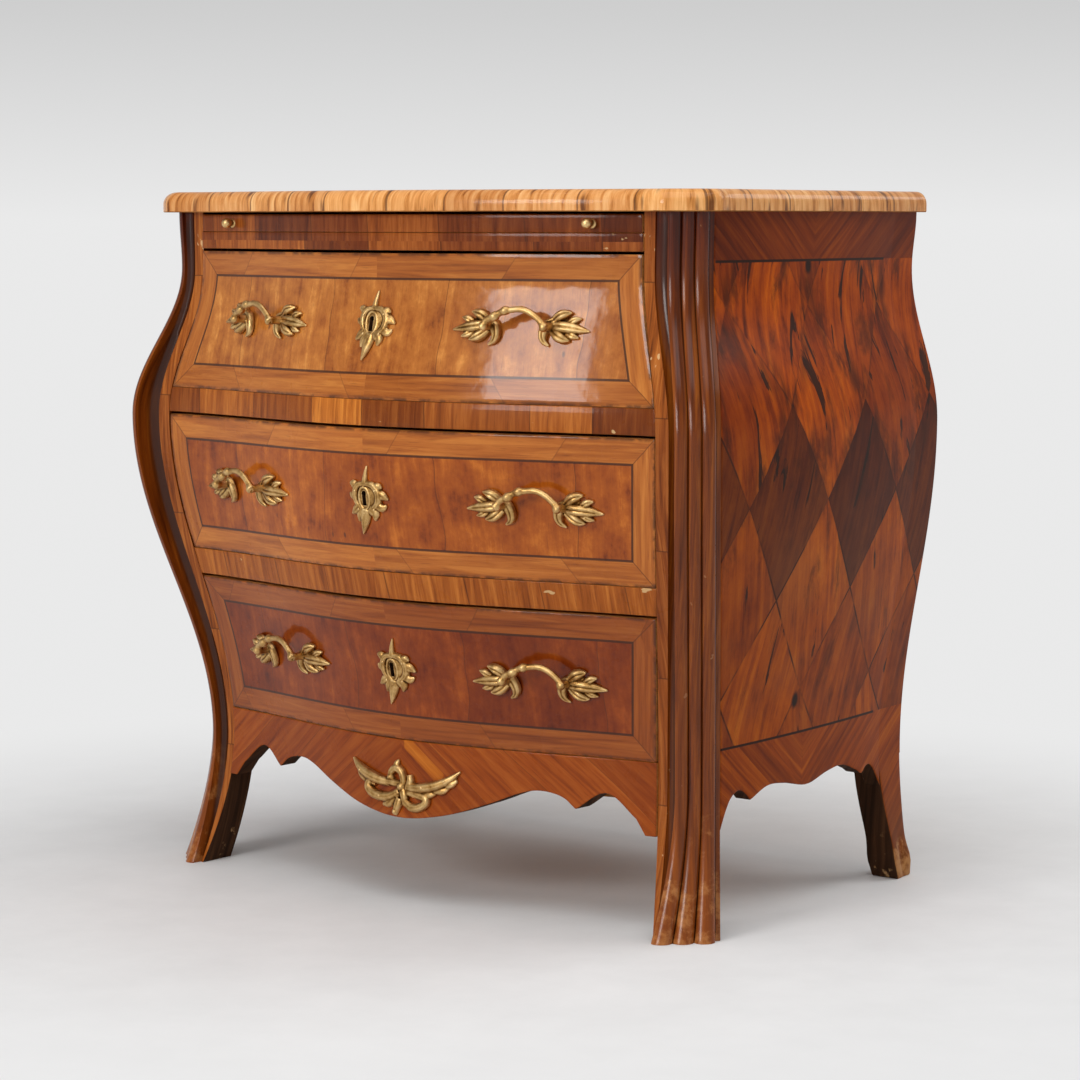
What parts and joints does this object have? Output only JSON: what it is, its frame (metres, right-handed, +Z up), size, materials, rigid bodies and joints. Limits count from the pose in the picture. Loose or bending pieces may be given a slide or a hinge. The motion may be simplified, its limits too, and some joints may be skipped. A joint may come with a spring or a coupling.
{
  "type": "bombe chest of drawers",
  "caption": "Bombe chest of drawers with swelling veneered front and sides, reeded corner posts, scalloped apron, a pull-out brushing slide and cast brass handles and escutcheons.",
  "frame": {"origin": "on the floor under the middle of the chest", "axes": "+X to the right as one faces the chest, +Y to the back, +Z up"},
  "size_m": [0.8358, 0.5479, 0.78],
  "materials": {
    "top_veneer": "polished veneer",
    "drawer_veneer": "polished veneer",
    "rail_veneer": "polished veneer",
    "side_veneer": "polished veneer",
    "post_walnut": "polished solid wood",
    "inner_pine": "plain planed wood",
    "gilt_brass": "cast and gilt, worn",
    "lock_steel": "dark forged"
  },
  "bodies": {
    "carcass": {"tabletop": "top_veneer", "left_side_panel": "side_veneer", "right_side_panel": "side_veneer", "front_left_post": "post_walnut", "front_right_post": "post_walnut", "rear_left_post": "side_veneer", "rear_right_post": "side_veneer", "lower_back_board": "inner_pine", "middle_back_board": "inner_pine", "upper_back_board": "inner_pine", "slide_rail": "rail_veneer", "upper_drawer_rail": "rail_veneer", "lower_drawer_rail": "rail_veneer", "front_apron": "rail_veneer", "apron_mount": "gilt_brass", "bottom_board": "inner_pine", "glue_blocks": "inner_pine", "slide_left_bearer": "inner_pine", "slide_right_bearer": "inner_pine", "drawer_1_left_runner": "inner_pine", "drawer_1_right_runner": "inner_pine", "drawer_2_left_runner": "inner_pine", "drawer_2_right_runner": "inner_pine", "drawer_guides": "inner_pine", "drawer_stops": "inner_pine"},
    "brushing_slide": {"slide_board": "inner_pine", "slide_front": "rail_veneer", "slide_left_knob": "gilt_brass", "slide_right_knob": "gilt_brass"},
    "drawer_1": {"drawer_1_front": "drawer_veneer", "drawer_1_left_side": "inner_pine", "drawer_1_right_side": "inner_pine", "drawer_1_back": "inner_pine", "drawer_1_bottom": "inner_pine", "drawer_1_lock_case": "lock_steel", "drawer_1_escutcheon": "gilt_brass", "drawer_1_left_handle": "gilt_brass", "drawer_1_right_handle": "gilt_brass"},
    "lock_bolt_1": {"drawer_1_lock_bolt": "lock_steel"},
    "drawer_2": {"drawer_2_front": "drawer_veneer", "drawer_2_left_side": "inner_pine", "drawer_2_right_side": "inner_pine", "drawer_2_back": "inner_pine", "drawer_2_bottom": "inner_pine", "drawer_2_lock_case": "lock_steel", "drawer_2_escutcheon": "gilt_brass", "drawer_2_left_handle": "gilt_brass", "drawer_2_right_handle": "gilt_brass"},
    "lock_bolt_2": {"drawer_2_lock_bolt": "lock_steel"},
    "drawer_3": {"drawer_3_front": "drawer_veneer", "drawer_3_left_side": "inner_pine", "drawer_3_right_side": "inner_pine", "drawer_3_back": "inner_pine", "drawer_3_bottom": "inner_pine", "drawer_3_lock_case": "lock_steel", "drawer_3_escutcheon": "gilt_brass", "drawer_3_left_handle": "gilt_brass", "drawer_3_right_handle": "gilt_brass"},
    "lock_bolt_3": {"drawer_3_lock_bolt": "lock_steel"}
  },
  "joints": [
    {"name": "brushing_slide_pull", "type": "slide", "parent": "carcass", "child": "brushing_slide", "axis": [0, -1, 0], "range_m": [0, 0.25]},
    {"name": "drawer_1_slide", "type": "slide", "parent": "carcass", "child": "drawer_1", "axis": [0, -1, 0], "range_m": [0, 0.3]},
    {"name": "lock_bolt_1_throw", "type": "slide", "parent": "drawer_1", "child": "lock_bolt_1", "axis": [0, 0, 1], "range_m": [0, 0.009]},
    {"name": "drawer_2_slide", "type": "slide", "parent": "carcass", "child": "drawer_2", "axis": [0, -1, 0], "range_m": [0, 0.3]},
    {"name": "lock_bolt_2_throw", "type": "slide", "parent": "drawer_2", "child": "lock_bolt_2", "axis": [0, 0, 1], "range_m": [0, 0.009]},
    {"name": "drawer_3_slide", "type": "slide", "parent": "carcass", "child": "drawer_3", "axis": [0, -1, 0], "range_m": [0, 0.3]},
    {"name": "lock_bolt_3_throw", "type": "slide", "parent": "drawer_3", "child": "lock_bolt_3", "axis": [0, 0, 1], "range_m": [0, 0.009]}
  ]
}
